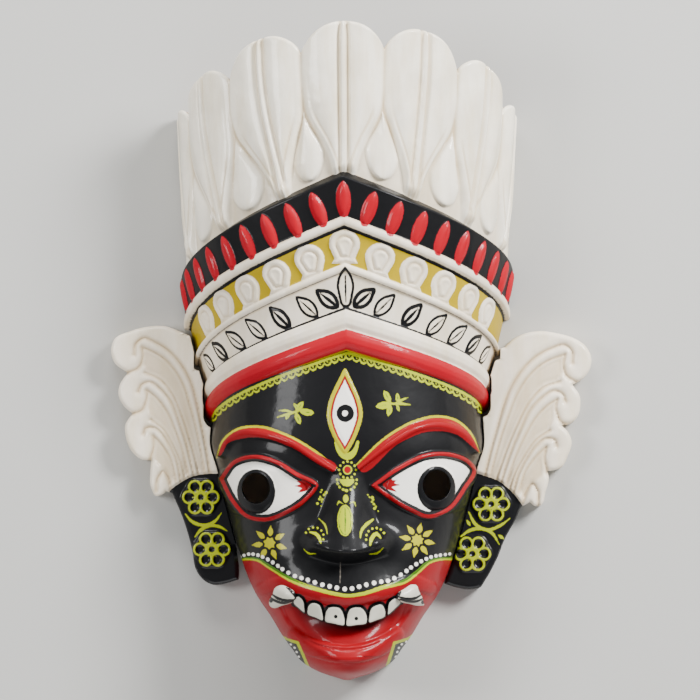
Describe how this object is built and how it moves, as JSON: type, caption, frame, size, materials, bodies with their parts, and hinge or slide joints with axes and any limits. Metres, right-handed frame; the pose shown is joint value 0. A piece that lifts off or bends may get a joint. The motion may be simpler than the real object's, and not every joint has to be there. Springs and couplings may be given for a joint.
{
  "type": "wooden deity mask",
  "caption": "Carved and painted wooden face mask with a third eye, fangs, a tall feather crown with patterned bands, and a curled wing with an ear flap on each side.",
  "frame": {"origin": "on the plane of the back rim, under the middle of the outline", "axes": "+X to the right as seen from the front, +Y to the top of the crown, +Z out of the face"},
  "size_m": [0.3526, 0.4799, 0.127],
  "materials": {
    "mask_wood": "painted cream, black, red and yellow under a gloss varnish",
    "wing_wood": "painted cream above and black below under a gloss varnish"
  },
  "bodies": {
    "root": {"mask_body": "mask_wood", "ear_wing_left": "wing_wood", "ear_wing_right": "wing_wood"}
  },
  "joints": []
}
